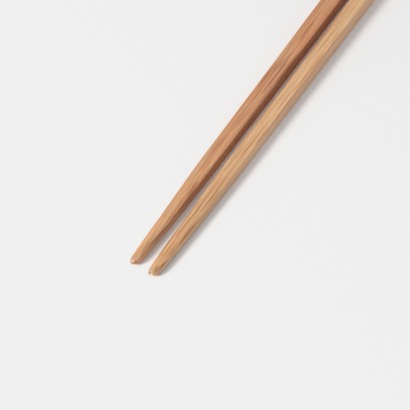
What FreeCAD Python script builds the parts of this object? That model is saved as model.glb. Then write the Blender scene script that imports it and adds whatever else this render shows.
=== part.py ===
"""A pair of bamboo chopsticks, lying side by side as they are laid on a table.

Millimetres, +Z up. The sticks lie along Y with their tips towards -Y. The origin is the middle of
the pair's own box, on the table. Each stick is planed from one strip of bamboo to an oblong section
of its own, its four long edges are taken off, it is drawn in and rounded towards the tip, and the
tip is dressed to a small blunt end. Widths are across the pair, and heights are above the table.
"""

import FreeCAD, Part

import math
import os

from FreeCAD import Vector

# Lengths along a stick, measured from its tip
STICK_LENGTH = 230.0
SHOULDER_FROM_TIP = 60.0

# The left stick's section at its head, at its shoulder and at its tip, before its edges are eased
LEFT_HEAD_WIDTH = 8.1
LEFT_HEAD_HEIGHT = 7.1
LEFT_SHOULDER_WIDTH = 6.2
LEFT_SHOULDER_HEIGHT = 5.6
LEFT_TIP_SIDE = 4.0

# The right stick's section, taller than it is wide
RIGHT_HEAD_WIDTH = 6.6
RIGHT_HEAD_HEIGHT = 8.6
RIGHT_SHOULDER_WIDTH = 5.8
RIGHT_SHOULDER_HEIGHT = 5.9
RIGHT_TIP_SIDE = 4.3

# How deep the four long corners are planed off, and how far back the rim of the head is
EDGE_EASING = 0.3
HEAD_RIM_EASING = 0.4

# Rounding of the corners near the tip: the radius at the very end, and its gain for each millimetre
TIP_ROUND_RADIUS = 2.5
TIP_ROUND_FLARE = 0.05

# Dressing of each tip: the blunt end's side, how far back its left facet runs, and the other three
LEFT_END_SIDE = 2.0
LEFT_TIP_LEFT_FACET = 1.5
LEFT_TIP_FACETS = 2.4
RIGHT_END_SIDE = 2.2
RIGHT_TIP_LEFT_FACET = 1.0
RIGHT_TIP_FACETS = 2.0

# How the pair is laid out: centre to centre, and how far the left tip lies behind the right one
TIP_SPACING = 8.8
HEAD_SPACING = 10.6
LEFT_SETBACK = 1.0

# Turns an outline that was drawn lying flat to stand on its side, or on a corner
QUARTER_TURN = 90.0
EIGHTH_TURN = 45.0

ACROSS = Vector(1, 0, 0)
ALONG = Vector(0, 1, 0)
UP = Vector(0, 0, 1)


def slope(head_side, shoulder_side):
    """How far one face moves out for each millimetre, between the shoulder and the head."""
    return (head_side - shoulder_side) / 2 / (STICK_LENGTH - SHOULDER_FROM_TIP)


def flank(head_side, shoulder_side, tip_side, side_of_axis):
    """One flank: a straight taper, and a curve that leaves it smoothly for the tip."""
    bend = SHOULDER_FROM_TIP / 2
    bend_half = shoulder_side / 2 - slope(head_side, shoulder_side) * (SHOULDER_FROM_TIP - bend)
    head = Vector(side_of_axis * head_side / 2, STICK_LENGTH, 0)
    shoulder = Vector(side_of_axis * shoulder_side / 2, SHOULDER_FROM_TIP, 0)
    tip = Vector(side_of_axis * tip_side / 2, 0, 0)
    curve = Part.BezierCurve()
    curve.setPoles([shoulder, Vector(side_of_axis * bend_half, bend, 0), tip])
    return [Part.makeLine(head, shoulder), curve.toShape()]


def outline(head_side, shoulder_side, tip_side, depth):
    """The stick's outline lying flat, as thick as depth, centred on its axis."""
    right = flank(head_side, shoulder_side, tip_side, 1)
    left = flank(head_side, shoulder_side, tip_side, -1)
    tip = Part.makeLine(Vector(-tip_side / 2, 0, 0), Vector(tip_side / 2, 0, 0))
    head = Part.makeLine(
        Vector(-head_side / 2, STICK_LENGTH, 0), Vector(head_side / 2, STICK_LENGTH, 0)
    )
    face = Part.Face(Part.Wire(Part.__sortEdges__([*right, *left, tip, head])))
    face.translate(UP * (-depth / 2))
    return face.extrude(UP * depth)


def planed_blank(width, height):
    """The sharp-edged stick: what its outline from above and its outline from the side share."""
    depth = width[0] + height[0]
    from_above = outline(*width, depth)
    from_the_side = outline(*height, depth)
    from_the_side.rotate(Vector(), ALONG, QUARTER_TURN)
    return from_above.common(from_the_side)


def ease_long_edges(stick, width, height):
    """Planes off the four long corners, by what the stick shares with two outlines on edge."""
    across_corners = [(w + h) / math.sqrt(2) - 2 * EDGE_EASING for w, h in zip(width, height)]
    for turn in (EIGHTH_TURN, -EIGHTH_TURN):
        on_edge = outline(*across_corners, width[0] + height[0])
        on_edge.rotate(Vector(), ALONG, turn)
        stick = stick.common(on_edge)
    return stick


def ease_head(stick, width, height):
    """Takes off the rim of the flat end that is held."""
    near_x = width[0] / 2 - HEAD_RIM_EASING
    near_z = height[0] / 2 - HEAD_RIM_EASING
    far_x = near_x + STICK_LENGTH
    far_z = near_z + STICK_LENGTH
    envelope = Part.makeWedge(
        -far_x, 0, -far_z, -near_z, -near_x, far_x, STICK_LENGTH, far_z, near_z, near_x
    )
    return stick.common(envelope)


def round_tip(stick):
    """Turns the corners away near the tip, where the section becomes nearly round."""
    far_radius = TIP_ROUND_RADIUS + TIP_ROUND_FLARE * STICK_LENGTH
    envelope = Part.makeCone(TIP_ROUND_RADIUS, far_radius, STICK_LENGTH, Vector(), ALONG)
    return stick.common(envelope)


def dress_tip(stick, tip_side, end_side, left_facet, other_facets):
    """Cuts four sloping facets round the tip and leaves a small blunt end."""
    near = end_side / 2
    cut = tip_side / 2 - near
    far_left = near + cut / left_facet * STICK_LENGTH
    far = near + cut / other_facets * STICK_LENGTH
    envelope = Part.makeWedge(
        -near, 0, -near, -far, -far_left, near, STICK_LENGTH, near, far, far
    )
    return stick.common(envelope)


def lay_down(stick, height, side_of_pair, setback):
    """Rests a stick on its straight underside, in its place beside the other."""
    rise = slope(height[0], height[1])
    pitch = math.atan(rise)
    axis_height = (height[1] / 2 - rise * SHOULDER_FROM_TIP) * math.cos(pitch)
    yaw = math.asin((HEAD_SPACING - TIP_SPACING) / 2 / STICK_LENGTH)
    stick.rotate(Vector(), ACROSS, math.degrees(pitch))
    stick.rotate(Vector(), UP, -side_of_pair * math.degrees(yaw))
    stick.translate(Vector(side_of_pair * TIP_SPACING / 2, setback, axis_height))
    return stick


def left_chopstick():
    width = (LEFT_HEAD_WIDTH, LEFT_SHOULDER_WIDTH, LEFT_TIP_SIDE)
    height = (LEFT_HEAD_HEIGHT, LEFT_SHOULDER_HEIGHT, LEFT_TIP_SIDE)
    stick = planed_blank(width, height)
    stick = ease_head(ease_long_edges(stick, width, height), width, height)
    stick = dress_tip(
        round_tip(stick), LEFT_TIP_SIDE, LEFT_END_SIDE, LEFT_TIP_LEFT_FACET, LEFT_TIP_FACETS
    )
    return lay_down(stick.removeSplitter(), height, -1, LEFT_SETBACK)


def right_chopstick():
    width = (RIGHT_HEAD_WIDTH, RIGHT_SHOULDER_WIDTH, RIGHT_TIP_SIDE)
    height = (RIGHT_HEAD_HEIGHT, RIGHT_SHOULDER_HEIGHT, RIGHT_TIP_SIDE)
    stick = planed_blank(width, height)
    stick = ease_head(ease_long_edges(stick, width, height), width, height)
    stick = dress_tip(
        round_tip(stick), RIGHT_TIP_SIDE, RIGHT_END_SIDE, RIGHT_TIP_LEFT_FACET, RIGHT_TIP_FACETS
    )
    return lay_down(stick.removeSplitter(), height, 1, 0)


def centre_on_origin(sticks):
    """Moves the pair until the middle of its box is over the origin, on the table."""
    box = Part.makeCompound(list(sticks.values())).optimalBoundingBox(False)
    for stick in sticks.values():
        stick.translate(Vector(-box.Center.x, -box.Center.y, 0))
    print("the pair's middle was at", round(box.Center.x, 3), round(box.Center.y, 3))


def main():
    sticks = {"left_chopstick": left_chopstick(), "right_chopstick": right_chopstick()}
    centre_on_origin(sticks)
    os.makedirs("parts", exist_ok=True)
    for name, stick in sticks.items():
        stick.exportStep(os.path.join("parts", name + ".step"))
        box = stick.optimalBoundingBox(False)
        print(name, "valid", stick.isValid(), "solids", len(stick.Solids))
        print("  volume, mm3:", round(stick.Volume, 1))
        print("  x", round(box.XMin, 3), "to", round(box.XMax, 3))
        print("  y", round(box.YMin, 3), "to", round(box.YMax, 3))
        print("  z", round(box.ZMin, 4), "to", round(box.ZMax, 3))


main()
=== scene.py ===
"""A pair of bamboo chopsticks side by side on a pale table top, their heads out of the picture."""

from math import cos, radians, sin

import bpy
from mathutils import Matrix, Vector


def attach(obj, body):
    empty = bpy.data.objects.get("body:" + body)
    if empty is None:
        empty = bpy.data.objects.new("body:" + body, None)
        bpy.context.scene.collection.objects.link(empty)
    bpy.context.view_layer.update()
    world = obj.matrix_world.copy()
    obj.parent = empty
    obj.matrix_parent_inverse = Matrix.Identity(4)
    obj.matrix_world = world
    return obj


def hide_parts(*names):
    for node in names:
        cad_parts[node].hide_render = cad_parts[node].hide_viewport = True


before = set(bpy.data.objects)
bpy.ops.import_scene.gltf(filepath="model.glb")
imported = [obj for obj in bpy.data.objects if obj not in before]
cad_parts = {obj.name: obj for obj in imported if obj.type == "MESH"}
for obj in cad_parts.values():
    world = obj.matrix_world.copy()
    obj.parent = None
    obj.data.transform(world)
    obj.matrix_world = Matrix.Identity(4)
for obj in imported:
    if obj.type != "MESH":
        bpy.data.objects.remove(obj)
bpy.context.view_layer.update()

# Left chopstick: the darker of the two, planed from one strip of steamed bamboo, on its broad face.
# It is drawn out from the head to the tip, and its corners are sanded away near the tip. The tip is
# cut back by short strokes on the left and on top, and by longer ones on the right and below.

STICK_LENGTH = 0.230
SHOULDER_FROM_TIP = 0.060
EDGE_RADIUS = 0.0006
HEAD_RIM = 0.0004

# how finely a stick's surface is divided, so that it can carry the fibres
CORNER_STEPS = 7
SIDE_CUTS = 37
LENGTH_STEP = 0.0011
MOST_CUTS = 100
END_GRID_SPAN = 40

# what the plane and the fibres leave: a name, the size of the grain, and how deep it is cut
PLANING_WAVES = ("waves", (0.004, 0.035, 0.004), 0.00009)
FIBRE_GROOVES = ("fibres", (0.0005, 0.045, 0.0005), 0.00005)


def side_at(side, from_tip):
    """The section's size at a distance from the tip: straight to the shoulder, then drawn in."""
    head, shoulder, tip = side
    gain = (head - shoulder) / (STICK_LENGTH - SHOULDER_FROM_TIP)
    if from_tip >= SHOULDER_FROM_TIP:
        return shoulder + gain * (from_tip - SHOULDER_FROM_TIP)
    bend = shoulder - gain * SHOULDER_FROM_TIP / 2
    t = 1 - from_tip / SHOULDER_FROM_TIP
    return (1 - t) ** 2 * shoulder + 2 * t * (1 - t) * bend + t**2 * tip


def select_edges(stick, test):
    """Selects, in edge mode, the edges whose two ends pass the test."""
    bpy.ops.object.mode_set(mode="EDIT")
    bpy.ops.mesh.select_mode(type="EDGE")
    bpy.ops.mesh.select_all(action="DESELECT")
    bpy.ops.object.mode_set(mode="OBJECT")
    points = stick.data.vertices
    for edge in stick.data.edges:
        edge.select = test(*(points[i].co for i in edge.vertices))
    bpy.ops.object.mode_set(mode="EDIT")


def head_section(name, width, height):
    """The head's end: an oblong with rounded corners, its flat sides divided for the fibres."""
    bpy.ops.object.select_all(action="DESELECT")
    bpy.ops.mesh.primitive_plane_add(size=1, rotation=(radians(90), 0, 0))
    stick = bpy.context.object
    stick.name = name
    stick.scale = (width, height, 1)
    bpy.ops.object.transform_apply(location=False, rotation=True, scale=True)
    bpy.ops.object.mode_set(mode="EDIT")
    bpy.ops.mesh.select_all(action="SELECT")
    bpy.ops.mesh.bevel(affect="VERTICES", offset=EDGE_RADIUS, segments=CORNER_STEPS)
    select_edges(stick, lambda a, b: (a - b).length > 2 * EDGE_RADIUS)
    bpy.ops.mesh.subdivide(number_cuts=SIDE_CUTS)
    bpy.ops.mesh.select_mode(type="FACE")
    bpy.ops.mesh.select_all(action="SELECT")
    return stick


def fit_section(stick, left, right, bottom, top):
    """Resizes and moves the selected section until it reaches just as far on each side."""
    bpy.ops.object.mode_set(mode="OBJECT")
    ring = [v.co for v in stick.data.vertices if v.select]
    low = Vector(min(p[i] for p in ring) for i in range(3))
    high = Vector(max(p[i] for p in ring) for i in range(3))
    bpy.ops.object.mode_set(mode="EDIT")
    middle = (low + high) / 2
    ratio = ((right - left) / (high.x - low.x), 1, (top - bottom) / (high.z - low.z))
    bpy.ops.transform.resize(value=ratio, center_override=middle)
    shift = ((left + right) / 2 - middle.x, 0, (bottom + top) / 2 - middle.z)
    bpy.ops.transform.translate(value=shift)


def add_section(stick, last, from_tip, rounding, reach):
    """Extrudes the open end to the next section, rounds its corners and sets its reach."""
    step = (0, from_tip - last, 0)
    bpy.ops.mesh.extrude_region_move(TRANSFORM_OT_translate={"value": step})
    if rounding:
        bpy.ops.transform.tosphere(value=rounding)
    fit_section(stick, *reach)


def draw_out(stick, width, height, stations):
    """Extrudes from the head towards the tip, with even sections, and says how far it came."""
    last = STICK_LENGTH
    for from_tip, rounding in stations:
        half_wide = side_at(width, from_tip) / 2
        half_high = side_at(height, from_tip) / 2
        reach = (-half_wide, half_wide, -half_high, half_high)
        add_section(stick, last, from_tip, rounding, reach)
        last = from_tip
    return last


def dress_tip(stick, last, strokes):
    """Extrudes the last stretch to the tip, each section with its own reach on all four sides."""
    for from_tip, rounding, *reach in strokes:
        add_section(stick, last, from_tip, rounding, reach)
        last = from_tip
    bpy.ops.object.mode_set(mode="OBJECT")


def divide_lengths(stick):
    """Cuts the long runs between stations into short ones, so that the surface can carry fibres."""
    runs = sorted({round(v.co.y, 5) for v in stick.data.vertices})
    for near, far in zip(runs, runs[1:]):
        cuts = min(MOST_CUTS, int((far - near) / LENGTH_STEP))
        if cuts:
            select_edges(stick, lambda a, b: {round(a.y, 5), round(b.y, 5)} == {near, far})
            bpy.ops.mesh.subdivide(number_cuts=cuts)
            bpy.ops.object.mode_set(mode="OBJECT")


def finish_ends(stick):
    """Rounds the rim of the head, and closes both ends with even grids."""
    at_head = -0.0001
    most_on_side_face = 8
    select_edges(stick, lambda a, b: a.y > at_head and b.y > at_head)
    bpy.ops.mesh.bevel(affect="EDGES", offset=HEAD_RIM, segments=3)
    bpy.ops.mesh.select_mode(type="FACE")
    for end in (1, -1):
        bpy.ops.mesh.select_all(action="DESELECT")
        bpy.ops.object.mode_set(mode="OBJECT")
        for face in stick.data.polygons:
            faces_out = face.normal.y * end > 0.5
            face.select = len(face.vertices) > most_on_side_face and faces_out
        bpy.ops.object.mode_set(mode="EDIT")
        bpy.ops.mesh.delete(type="ONLY_FACE")
        bpy.ops.mesh.select_mode(type="EDGE")
        bpy.ops.mesh.select_non_manifold()
        bpy.ops.mesh.fill_grid(span=END_GRID_SPAN)
        bpy.ops.mesh.select_mode(type="FACE")
    bpy.ops.mesh.select_all(action="SELECT")
    bpy.ops.mesh.normals_make_consistent(inside=False)
    bpy.ops.object.mode_set(mode="OBJECT")


def plane_by_hand(stick, seed):
    """Leaves the planing's slight waves and the fibres' fine grooves in the surface, cut inwards."""
    for name, grain, depth in (PLANING_WAVES, FIBRE_GROOVES):
        grain_of_wood = bpy.data.objects.new(name, None)
        bpy.context.collection.objects.link(grain_of_wood)
        grain_of_wood.scale = grain
        grain_of_wood.location = (seed * 0.37, seed * 0.11, 0)
        bpy.context.view_layer.update()
        clouds = bpy.data.textures.new(name, "CLOUDS")
        clouds.noise_scale = 1
        clouds.noise_depth = 1
        cut = stick.modifiers.new(name, "DISPLACE")
        cut.texture = clouds
        cut.texture_coords = "OBJECT"
        cut.texture_coords_object = grain_of_wood
        cut.mid_level = 1
        cut.strength = depth
        bpy.context.view_layer.objects.active = stick
        bpy.ops.object.modifier_apply(modifier=name)
        bpy.data.objects.remove(grain_of_wood)
    bpy.ops.object.select_all(action="DESELECT")
    stick.select_set(True)
    bpy.ops.object.shade_smooth_by_angle(angle=radians(40))


def lay_down(stick, pitch, yaw, tip):
    """Turns the finished mesh to its rest on the table and leaves the object at the origin."""
    from_head_to_tip = Matrix.Translation((0, STICK_LENGTH, 0))
    turned = Matrix.Rotation(yaw, 4, "Z") @ Matrix.Rotation(pitch, 4, "X")
    stick.data.transform(Matrix.Translation(tip) @ turned @ from_head_to_tip)


def make_stick(name, width, height, stations, strokes, seed):
    """One stick from head to tip, not yet laid down."""
    stick = head_section(name, width[0], height[0])
    last = draw_out(stick, width, height, stations)
    dress_tip(stick, last, strokes)
    divide_lengths(stick)
    finish_ends(stick)
    plane_by_hand(stick, seed)
    return stick


# the section's size at the head, at the shoulder and at the tip
left_width = (0.00835, 0.0062, 0.00385)
left_height = (0.0071, 0.0056, 0.0042)

# how the stick lies: its turns in radians, and where the middle of its tip is
left_pitch = 0.00441
left_yaw = 0.00337
left_tip = (-0.004026, -0.114516, 0.00254)

# stations along the stick: from the tip, and how round the corners become there
handle = [(0.145, 0), (0.060, 0)]
left_stations = handle + [
    (0.052, 0.05), (0.044, 0.07), (0.037, 0.09), (0.030, 0.11), (0.024, 0.12),
]

# strokes at the tip: from the tip, rounding, and the reach to the left, right, bottom and top
left_strokes = [
    (0.0180, 0.13, -0.00249, 0.00238, -0.00240, 0.00242),
    (0.0130, 0.13, -0.00240, 0.00222, -0.00232, 0.00236),
    (0.0090, 0.12, -0.00231, 0.00206, -0.00224, 0.00229),
    (0.0062, 0.10, -0.00225, 0.00193, -0.00215, 0.00223),
    (0.0042, 0.10, -0.00220, 0.00184, -0.00206, 0.00216),
    (0.0032, 0.05, -0.00217, 0.00175, -0.00196, 0.00210),
    (0.0024, 0.08, -0.00213, 0.00158, -0.00184, 0.00203),
    (0.0017, 0.08, -0.00208, 0.00132, -0.00164, 0.00193),
    (0.0011, 0.08, -0.00196, 0.00100, -0.00136, 0.00174),
    (0.0006, 0.08, -0.00174, 0.00066, -0.00106, 0.00148),
    (0.00025, 0.08, -0.00150, 0.00034, -0.00082, 0.00122),
    (0.0000, 0.08, -0.00120, 0.00004, -0.00054, 0.00090),
]
left_stick = make_stick("left_stick", left_width, left_height, left_stations, left_strokes, 1)
lay_down(left_stick, left_pitch, left_yaw, left_tip)
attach(left_stick, "root")
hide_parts("left_chopstick")

# The bamboo's surface: tan to red-brown, with the grain running the whole length in broad tones, fine
# fibres and the dark lines of its vascular bundles. Each stick adds the streaks and stains that it
# alone has, painted shade beside the gap between the sticks, and the cut and worn places of its tip.
# The face towards the right carries painted light and shade.

MM_IN_A_METRE = 1000


def start_finish(name, roughness):
    """A new material, and its nodes and shader."""
    material = bpy.data.materials.new(name)
    material.use_nodes = True
    shader = material.node_tree.nodes["Principled BSDF"]
    shader.inputs["Roughness"].default_value = roughness
    return material, material.node_tree, shader


def add_node(tree, kind, settings=None, **inputs):
    """A node with its settings. An input is a link or a value, by its name or as i and its number."""
    node = tree.nodes.new("ShaderNode" + kind)
    for key, value in (settings or {}).items():
        setattr(node, key, value)
    for key, value in inputs.items():
        by_number = key[0] == "i" and key[1:].isdigit()
        socket = node.inputs[int(key[1:]) if by_number else key]
        if isinstance(value, bpy.types.NodeSocket):
            tree.links.new(value, socket)
        else:
            socket.default_value = value
    return node


def bamboo(name, tip, pitch, yaw, seed, colours, tip_tone, marks, painted_side_shading):
    """Steamed bamboo: broad tone, streaks, fine fibres, dark bundles, marks, and painted side
    shading.
    """
    material, tree, shader = start_finish(name, 0.52)
    pale, middle, brown, stain_and_painted_shade, cut_end, dulled = [(*c, 1) for c in colours]
    place = add_node(tree, "TexCoord").outputs["Object"]

    # millimetres across, from the tip and above the axis, with the grain along the stick
    turn = Matrix.Rotation(-pitch, 4, "X") @ Matrix.Rotation(-yaw, 4, "Z")
    stick_mm = add_node(
        tree, "Mapping", Vector=place, Location=turn @ (Vector(tip) * -MM_IN_A_METRE),
        Rotation=turn.to_euler(), Scale=(MM_IN_A_METRE, MM_IN_A_METRE, MM_IN_A_METRE),
    ).outputs[0]
    parts = add_node(tree, "SeparateXYZ", Vector=stick_mm).outputs
    across_mm = parts[0]
    from_tip_mm = parts[1]

    # the fibres wander a little as they run
    wander = 0.5
    slow = add_node(tree, "Mapping", Vector=stick_mm, Scale=(0.05, 0.02, 0.05)).outputs[0]
    drift = add_node(tree, "TexNoise", Vector=slow, Scale=1.0, Detail=1.0).outputs[1]
    drift = add_node(
        tree, "VectorMath", {"operation": "MULTIPLY_ADD"}, i0=drift, i1=(wander, 0, wander),
        i2=(-wander / 2, 0, -wander / 2),
    ).outputs[0]
    bent = add_node(tree, "VectorMath", {"operation": "ADD"}, i0=stick_mm, i1=drift).outputs[0]

    def grain(across, along, detail=2.0, roughness=0.5, shift=0.0):
        """Noise drawn out along the fibres, its size given in millimetres across and along."""
        squeezed = add_node(
            tree, "Mapping", Vector=bent, Scale=(1 / across, 1 / along, 1 / across),
            Location=(seed * 7.3 + shift, seed * 3.1 + shift, shift * 2.7),
        ).outputs[0]
        return add_node(
            tree, "TexNoise", Vector=squeezed, Scale=1.0, Detail=detail, Roughness=roughness
        ).outputs[0]

    def spread(value, low, high, to_low=0.0, to_high=1.0, smooth=False):
        """Turns the range from low to high into the range from to_low to to_high."""
        settings = {"interpolation_type": "SMOOTHSTEP" if smooth else "LINEAR"}
        node = add_node(tree, "MapRange", settings, Value=value)
        for index, number in zip((1, 2, 3, 4), (low, high, to_low, to_high)):
            node.inputs[index].default_value = number
        return node.outputs[0]

    def calculate(operation, a, b):
        return add_node(tree, "Math", {"operation": operation}, i0=a, i1=b).outputs[0]

    def blend(amount, a, b):
        return add_node(tree, "Mix", {"data_type": "RGBA"}, i0=amount, i6=a, i7=b).outputs[2]

    colour = blend(spread(grain(5.0, 70.0), 0.32, 0.68, smooth=True), middle, pale)

    # the outer, younger wood of the strip shows towards the tip, and ends raggedly
    tone, solid_to, gone_at = tip_tone
    ragged = 30.0
    reach = calculate("ADD", from_tip_mm, calculate("MULTIPLY", grain(1.6, 30.0, shift=17.0), ragged))
    younger = spread(reach, solid_to + ragged / 2, gone_at + ragged / 2, 0.9, 0.0, smooth=True)
    colour = blend(younger, colour, (*tone, 1))

    # the pattern is a little fainter along the handle
    clear = spread(from_tip_mm, 40.0, 75.0, 1.0, 0.70)

    # streaks under a millimetre wide, some darker and some paler
    streaks = grain(0.50, 55.0, roughness=0.6, shift=9.0)
    dark_ones = calculate("MULTIPLY", spread(streaks, 0.32, 0.48, 0.62, 0.0), clear)
    colour = blend(dark_ones, colour, brown)
    colour = blend(spread(streaks, 0.53, 0.68, 0.0, 0.60), colour, pale)

    # fine fibres
    fibres = spread(grain(0.32, 34.0, detail=3.0, roughness=0.65, shift=11.0), 0.3, 0.7)
    dark_fibres = calculate("MULTIPLY", spread(fibres, 0.0, 0.55, 0.72, 0.0), clear)
    colour = blend(dark_fibres, colour, brown)

    # vascular bundles: dots in the cross-section, so they are long lines on the sides
    across = add_node(tree, "Mapping", Vector=bent, Scale=(0.95, 0.004, 0.95)).outputs[0]
    cells = add_node(tree, "TexVoronoi", Vector=across, Scale=1.0, Randomness=0.95)
    bundle = spread(cells.outputs["Distance"], 0.14, 0.34, 1.0, 0.0, smooth=True)
    broken = spread(grain(0.9, 22.0, shift=5.0), 0.44, 0.60, 0.06, 0.80)
    broken = calculate("MULTIPLY", broken, clear)
    colour = blend(calculate("MULTIPLY", bundle, broken), colour, brown)

    # some fibres are a little redder, and others a little greener and paler
    cast = grain(0.85, 24.0, shift=31.0)
    colour = add_node(
        tree, "HueSaturation", Color=colour, Hue=spread(cast, 0.35, 0.65, 0.493, 0.507),
        Saturation=spread(cast, 0.35, 0.65, 1.07, 0.93),
    ).outputs[0]

    # what this stick alone has: thin lines, solid stains, some of which are painted shade, and pale
    # streaks, which fray out unevenly along the fibres, and the cut and worn places of the tip, which
    # don't
    lines = spread(grain(0.42, 45.0, shift=3.0), 0.44, 0.55, 0.06, 1.0, smooth=True)
    frayed_grain = grain(0.38, 30.0, detail=3.0, roughness=0.6, shift=21.0)
    frayed = spread(frayed_grain, 0.36, 0.64, 0.30, 1.70)
    kinds = {"lines": stain_and_painted_shade, "solid": stain_and_painted_shade, "worn": dulled, "pale": pale, "cut": cut_end}
    for middle_at, reach, strength, kind in marks:
        near = add_node(
            tree, "Mapping", {"vector_type": "TEXTURE"}, Vector=stick_mm, Location=middle_at,
            Scale=reach,
        ).outputs[0]
        ball = add_node(tree, "TexGradient", {"gradient_type": "SPHERICAL"}, Vector=near).outputs[1]
        if kind not in ("cut", "worn"):
            ball = calculate("MULTIPLY", ball, frayed)
        amount = spread(ball, 0.03, 0.48, 0.0, strength, smooth=True)
        if kind == "lines":
            amount = calculate("MULTIPLY", amount, lines)
        colour = blend(amount, colour, kinds[kind])

    # painted shade and light on the face towards the right: darker on the left stick, for the shade
    # in the gap between the sticks, and lighter on the right stick, for the room's light falling on
    # it
    tone, edge, reach, strength = painted_side_shading
    amount = spread(across_mm, edge, edge + reach, 0.0, strength, smooth=True)
    colour = blend(amount, colour, (*tone, 1))
    tree.links.new(colour, shader.inputs["Base Color"])

    # the bundles lie a little lower than the fibres, and the fibres shine more
    bump = add_node(tree, "Bump", Strength=0.35, Distance=0.00004)
    relief = calculate("SUBTRACT", fibres, calculate("MULTIPLY", bundle, 0.6))
    tree.links.new(relief, bump.inputs["Height"])
    tree.links.new(bump.outputs[0], shader.inputs["Normal"])
    tree.links.new(spread(fibres, 0.0, 1.0, 0.62, 0.46), shader.inputs["Roughness"])
    return material


# colours: pale, middle, brown, stained (also used for painted shade), freshly cut and dulled by wear
darker_colours = [
    (0.650, 0.352, 0.176), (0.580, 0.275, 0.130), (0.290, 0.098, 0.040), (0.240, 0.062, 0.024),
    (0.66, 0.43, 0.30), (0.30, 0.23, 0.18),
]

# towards the tip: its tone, how far it is solid and where it has gone, in mm from the tip
left_tip_tone = ((0.640, 0.375, 0.185), 26.0, 66.0)

# marks: the middle in mm across, from the tip and above the axis, the reach, strength and kind
left_marks = [
    # streaks and stains along the stick, and painted shade
    ((0.42, 8.8, 2.2), (0.32, 7.0, 1.0), 0.85, "solid"),
    ((1.05, 9.0, 2.1), (0.28, 7.0, 1.0), 0.45, "solid"),
    ((1.65, 10.5, 2.0), (0.36, 8.0, 1.0), 0.55, "solid"),
    ((2.3, 12.0, 1.6), (0.7, 9.0, 1.3), 0.50, "solid"),
    ((2.2, 28.0, 2.4), (0.9, 9.0, 1.2), 0.55, "lines"),
    ((2.7, 40.0, 0.8), (1.4, 14.0, 2.4), 0.32, "solid"),
    # lighter on the face towards the right here, which lessens the painted shade on it
    ((3.2, 52.0, 0.2), (1.5, 26.0, 3.2), 0.22, "pale"),
    # painted shade: the face towards the right darker towards its foot, where the gap lies in shade
    ((3.5, 140.0, -2.4), (1.5, 75.0, 2.6), 0.50, "solid"),
    ((1.9, 38.0, 2.5), (1.3, 11.5, 1.2), 0.80, "lines"),
    ((-1.7, 41.0, 2.6), (1.3, 10.0, 1.2), 0.45, "lines"),
    ((-1.6, 62.5, 2.8), (0.26, 9.0, 1.0), 0.35, "solid"),
    ((-0.92, 63.0, 2.8), (0.28, 14.0, 1.0), 0.45, "solid"),
    ((-0.12, 62.0, 2.8), (0.28, 13.0, 1.0), 0.42, "solid"),
    ((1.8, 82.4, 2.9), (0.7, 11.0, 1.2), 0.55, "pale"),
    ((-0.6, 86.7, 3.0), (2.8, 16.0, 1.4), 0.40, "lines"),
    ((0.0, 107.4, 3.1), (3.8, 14.0, 1.6), 0.50, "lines"),
    ((-1.9, 107.0, 3.1), (0.30, 11.0, 1.0), 0.20, "solid"),
    ((0.7, 106.0, 3.1), (0.30, 12.0, 1.0), 0.50, "solid"),
    ((-0.15, 106.0, 3.1), (0.5, 11.0, 1.2), 0.45, "pale"),
    ((1.7, 106.0, 3.1), (0.5, 11.0, 1.2), 0.45, "pale"),
    ((3.0, 113.6, 2.9), (1.0, 12.0, 1.0), 0.55, "solid"),
    ((0.1, 137.0, 3.2), (0.32, 9.5, 1.0), 0.70, "solid"),
    ((-0.5, 136.0, 3.2), (0.26, 7.0, 1.0), 0.30, "solid"),
    ((1.23, 26.0, 2.5), (0.50, 11.0, 1.0), 0.41, "solid"),
    ((0.28, 42.3, 2.7), (0.34, 6.0, 1.0), 0.50, "solid"),
    ((0.69, 15.3, 2.4), (0.34, 6.0, 1.0), 0.45, "solid"),
    ((2.03, 50.7, 2.7), (0.40, 6.0, 1.0), 0.55, "solid"),
    ((2.95, 43.0, 2.5), (0.50, 6.0, 0.9), 0.80, "pale"),
    ((1.86, 19.5, 2.4), (0.45, 7.0, 1.0), 0.38, "solid"),
    ((-0.85, 16.5, 2.4), (1.10, 10.0, 1.2), 0.70, "pale"),
    ((-1.52, 40.0, 2.7), (1.20, 10.0, 1.2), 0.60, "pale"),
    ((2.50, 88.0, 2.9), (0.75, 36.0, 1.1), 0.40, "solid"),
    ((0.48, 119.4, 3.1), (0.40, 8.0, 1.0), 0.42, "solid"),
    ((-0.12, 60.6, 2.8), (0.70, 7.0, 1.0), 0.40, "pale"),
    # the end of the tip
    ((0.36, 0.1, 0.47), (0.6, 0.8, 0.6), 0.60, "solid"),
    ((1.03, 0.9, 0.57), (0.6, 0.9, 0.6), 0.60, "solid"),
    ((-0.66, 1.0, 2.06), (0.5, 0.8, 0.5), 0.55, "solid"),
    ((-1.05, 1.2, 1.45), (1.9, 2.9, 1.9), 0.40, "worn"),
    ((-0.80, 0.2, -0.40), (1.1, 0.8, 1.3), 0.50, "worn"),
    ((-1.35, 0.3, 0.40), (0.9, 1.0, 1.0), 0.45, "worn"),
    ((-0.40, 0.2, 1.36), (0.5, 0.7, 0.4), 0.75, "cut"),
]

# painted shade on the face towards the right, for the shade of the gap between the sticks: its tone,
# where it begins in mm across, how softly, and its strength
left_painted_side_shade = ((0.33, 0.095, 0.036), 1.6, 1.6, 0.48)
left_stick.data.materials.append(bamboo(
    "darker_bamboo_finish", left_tip, left_pitch, left_yaw, 1, darker_colours, left_tip_tone,
    left_marks, left_painted_side_shade,
))

# Right chopstick: the lighter one, of the same make, planed a little taller than it is wide. Its tip
# is cut back in the same way as the other, mostly from the right and from below, and ends a little
# blunter.

right_width = (0.00635, 0.0058, 0.0042)
right_height = (0.0086, 0.0059, 0.0043)

right_pitch = 0.00794
right_yaw = -0.00445
right_tip = (0.004874, -0.11556, 0.002474)

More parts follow.
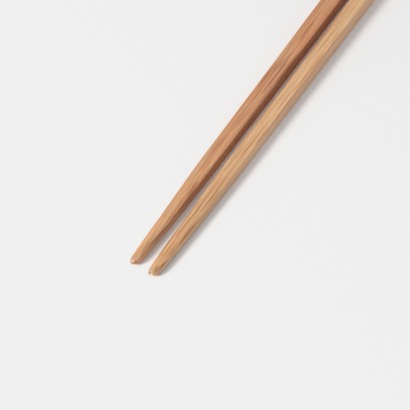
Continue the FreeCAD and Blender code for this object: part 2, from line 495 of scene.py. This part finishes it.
right_stations = handle + [
    (0.052, 0.05), (0.044, 0.07), (0.037, 0.08), (0.030, 0.10),
]
right_strokes = [
    (0.0240, 0.11, -0.00267, 0.00256, -0.00255, 0.00257),
    (0.0180, 0.12, -0.00264, 0.00246, -0.00246, 0.00250),
    (0.0130, 0.12, -0.00260, 0.00236, -0.00238, 0.00245),
    (0.0090, 0.11, -0.00252, 0.00226, -0.00231, 0.00239),
    (0.0062, 0.10, -0.00246, 0.00214, -0.00224, 0.00231),
    (0.0046, 0.06, -0.00241, 0.00200, -0.00212, 0.00222),
    (0.0032, 0.06, -0.00231, 0.00184, -0.00198, 0.00214),
    (0.0019, 0.06, -0.00213, 0.00153, -0.00174, 0.00207),
    (0.0012, 0.06, -0.00199, 0.00116, -0.00144, 0.00197),
    (0.0007, 0.06, -0.00187, 0.00077, -0.00114, 0.00184),
    (0.00035, 0.06, -0.00176, 0.00041, -0.00090, 0.00166),
    (0.00012, 0.06, -0.00166, 0.00017, -0.00072, 0.00146),
    (0.0000, 0.06, -0.00150, -0.00005, -0.00056, 0.00120),
]
right_stick = make_stick(
    "right_stick", right_width, right_height, right_stations, right_strokes, 2
)
lay_down(right_stick, right_pitch, right_yaw, right_tip)
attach(right_stick, "root")
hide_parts("right_chopstick")

lighter_colours = [
    (0.720, 0.448, 0.238), (0.635, 0.366, 0.180), (0.370, 0.158, 0.060), (0.300, 0.105, 0.040),
    (0.71, 0.61, 0.51), (0.27, 0.19, 0.13),
]
right_tip_tone = ((0.600, 0.345, 0.168), 22.0, 60.0)
right_marks = [
    # streaks and stains along the stick, and painted shade
    ((-1.9, 15.2, 2.2), (0.5, 9.0, 1.0), 0.80, "solid"),
    ((-0.75, 20.0, 2.4), (0.30, 13.0, 1.0), 0.32, "solid"),
    ((-0.34, 36.0, 2.7), (0.30, 18.0, 1.0), 0.42, "solid"),
    ((1.5, 27.0, 2.4), (0.34, 8.0, 1.0), 0.45, "solid"),
    ((1.0, 46.0, 2.8), (0.32, 23.0, 1.0), 0.68, "solid"),
    ((0.86, 78.0, 3.1), (0.30, 16.0, 1.0), 0.70, "solid"),
    ((-1.0, 60.0, 2.9), (0.30, 12.0, 1.0), 0.40, "solid"),
    ((2.3, 23.2, 2.0), (0.8, 8.0, 0.9), 0.70, "solid"),
    ((1.6, 13.4, 2.3), (1.0, 6.0, 1.0), 0.50, "lines"),
    ((0.87, 2.4, 2.0), (0.45, 3.0, 1.0), 0.75, "solid"),
    ((0.25, 2.9, 2.0), (0.28, 2.0, 1.0), 0.50, "solid"),
    ((1.95, 4.8, 1.2), (0.8, 4.2, 0.9), 0.75, "solid"),
    ((2.9, 80.0, 2.9), (0.9, 9.0, 0.9), 0.85, "lines"),
    ((3.0, 100.0, 3.1), (0.6, 18.0, 0.8), 0.60, "solid"),
    ((2.9, 124.0, 3.3), (1.0, 10.0, 1.0), 0.60, "lines"),
    ((-1.9, 133.0, 3.5), (0.5, 16.0, 1.0), 0.45, "lines"),
    ((-0.2, 136.0, 3.5), (0.32, 9.0, 1.0), 0.50, "solid"),
    ((-0.8, 137.0, 3.5), (0.30, 7.0, 1.0), 0.22, "solid"),
    ((2.2, 139.0, 3.5), (1.0, 7.0, 1.0), 0.50, "lines"),
    ((3.1, 138.0, 3.2), (0.9, 11.0, 0.8), 0.60, "lines"),
    # painted shade: darker along the top-left edge, beside the shaded gap between the sticks
    ((-3.1, 130.0, 3.3), (0.75, 85.0, 1.2), 0.68, "solid"),
    ((-0.90, 15.5, 2.4), (0.65, 7.0, 1.0), 0.68, "pale"),
    ((0.05, 23.0, 2.5), (0.50, 12.0, 1.0), 0.36, "pale"),
    ((1.35, 43.5, 2.8), (0.50, 14.0, 1.0), 0.60, "solid"),
    ((-0.79, 43.5, 2.8), (0.40, 13.0, 1.0), 0.48, "solid"),
    ((-2.05, 25.0, 2.6), (0.50, 17.0, 1.0), 0.62, "solid"),
    ((-2.20, 51.0, 2.8), (0.50, 10.0, 1.0), 0.25, "solid"),
    ((2.19, 28.0, 2.6), (0.40, 6.0, 1.0), 0.45, "solid"),
    ((0.95, 99.5, 3.3), (0.55, 13.0, 1.0), 0.52, "solid"),
    ((-2.25, 88.0, 3.2), (0.48, 34.0, 1.0), 0.44, "solid"),
    ((-1.09, 137.0, 3.6), (0.90, 10.0, 1.0), 0.55, "pale"),
    ((2.00, 118.0, 3.4), (0.45, 17.0, 1.0), 0.48, "solid"),
    ((3.05, 110.0, 2.7), (0.80, 58.0, 1.4), 0.32, "solid"),
    # the end of the tip
    ((-0.6, 0.8, 0.9), (2.6, 2.6, 2.6), 0.22, "worn"),
    ((0.05, 0.0, -0.15), (1.05, 0.9, 1.3), 0.90, "cut"),
    ((-1.45, 0.2, 0.75), (0.85, 1.1, 1.2), 0.75, "worn"),
    ((-0.85, 0.3, 1.12), (0.9, 1.3, 0.7), 0.50, "worn"),
    ((1.3, 0.3, -0.2), (0.8, 0.9, 1.0), 0.40, "worn"),
]
# painted light on the face towards the right, lighter and redder for the room's light falling on it:
# its tone, where it begins in mm across, how softly, and its strength
right_painted_side_light = ((0.80, 0.45, 0.28), 2.4, 0.9, 0.55)
right_stick.data.materials.append(bamboo(
    "lighter_bamboo_finish", right_tip, right_pitch, right_yaw, 2, lighter_colours, right_tip_tone,
    right_marks, right_painted_side_light,
))

# Table top: a plain matt white board or sheet, with no edge, grain or crease to be seen. It runs out
# of the picture on every side.

TABLE_SIZE = 8
TABLE_GREY = 0.86
bpy.ops.object.select_all(action="DESELECT")
bpy.ops.mesh.primitive_plane_add(size=TABLE_SIZE)
table_top = bpy.context.object
table_top.name = "table_top"
table_finish, _, table_shader = start_finish("table_top_finish", 0.7)
table_shader.inputs["Base Color"].default_value = (TABLE_GREY, TABLE_GREY, TABLE_GREY, 1)
table_top.data.materials.append(table_finish)

# Studio light: one large soft lamp, a little warm, high on the left and in front of the tips. The
# white room gives an even and slightly cool light from all round.

ROOM_COLOUR = (0.975, 1.01, 1.045, 1)
ROOM_STRENGTH = 0.62
LAMP_COLOUR = (1.0, 0.965, 0.925)
LAMP_SIZE = 0.32
LAMP_WATTS_OVERHEAD = 5.229437

# how far a shadow reaches across the sticks and along them, for each unit of height
SHADOW_ACROSS = 0.58
SHADOW_ALONG = 1.20

room = bpy.data.worlds.new("room")
room.use_nodes = True
background = room.node_tree.nodes["Background"]
background.inputs["Color"].default_value = ROOM_COLOUR
background.inputs["Strength"].default_value = ROOM_STRENGTH
bpy.context.scene.world = room

lamp_way = Vector((-SHADOW_ACROSS, -SHADOW_ALONG, 1)).normalized()
lamp_aim = Vector((0, -0.05, 0))
lamp_data = bpy.data.lights.new("soft_lamp", "AREA")
lamp_data.shape = "DISK"
lamp_data.size = LAMP_SIZE
lamp_data.color = LAMP_COLOUR
lamp_data.energy = LAMP_WATTS_OVERHEAD / lamp_way.z
lamp = bpy.data.objects.new("soft_lamp", lamp_data)
bpy.context.collection.objects.link(lamp)
lamp.location = lamp_aim + lamp_way
lamp.rotation_euler = lamp_way.to_track_quat("Z", "Y").to_euler()

# Camera: a long lens above the tips and to their right, as in the photograph. It looks at the front
# half of the sticks, so the heads are out of view.

CAMERA_AZIMUTH = radians(30.5)
CAMERA_ELEVATION = radians(50.523)
CAMERA_DISTANCE = 1.2
LENS_MM = 270.8
SENSOR_MM = 36
FARTHEST_SEEN = 20

aim = Vector((0.00375, -0.07355, 0))
back = Vector((
    sin(CAMERA_AZIMUTH) * cos(CAMERA_ELEVATION),
    -cos(CAMERA_AZIMUTH) * cos(CAMERA_ELEVATION),
    sin(CAMERA_ELEVATION),
))
camera_data = bpy.data.cameras.new("camera")
camera_data.sensor_width = SENSOR_MM
camera_data.lens = LENS_MM
camera_data.clip_end = FARTHEST_SEEN
camera = bpy.data.objects.new("camera", camera_data)
bpy.context.collection.objects.link(camera)
camera.location = aim + back * CAMERA_DISTANCE
camera.rotation_euler = back.to_track_quat("Z", "Y").to_euler()
bpy.context.scene.camera = camera

# the picture's whites roll off softly just under the brightest grey, as in the photograph
BRIGHTEST = (1.04, 0.872)
TONES = ((0.40, 0.40), (0.70, 0.70), (0.82, 0.805), (0.92, 0.858))
look = bpy.context.scene.view_settings
look.view_transform = "Standard"
look.use_curve_mapping = True
tones = look.curve_mapping
tones.clip_max_x = 2
tones.clip_max_y = 2
tones.extend = "HORIZONTAL"
curve = tones.curves[3]
curve.points[1].location = BRIGHTEST
for brightness, shown in TONES:
    curve.points.new(brightness, shown)
tones.update()
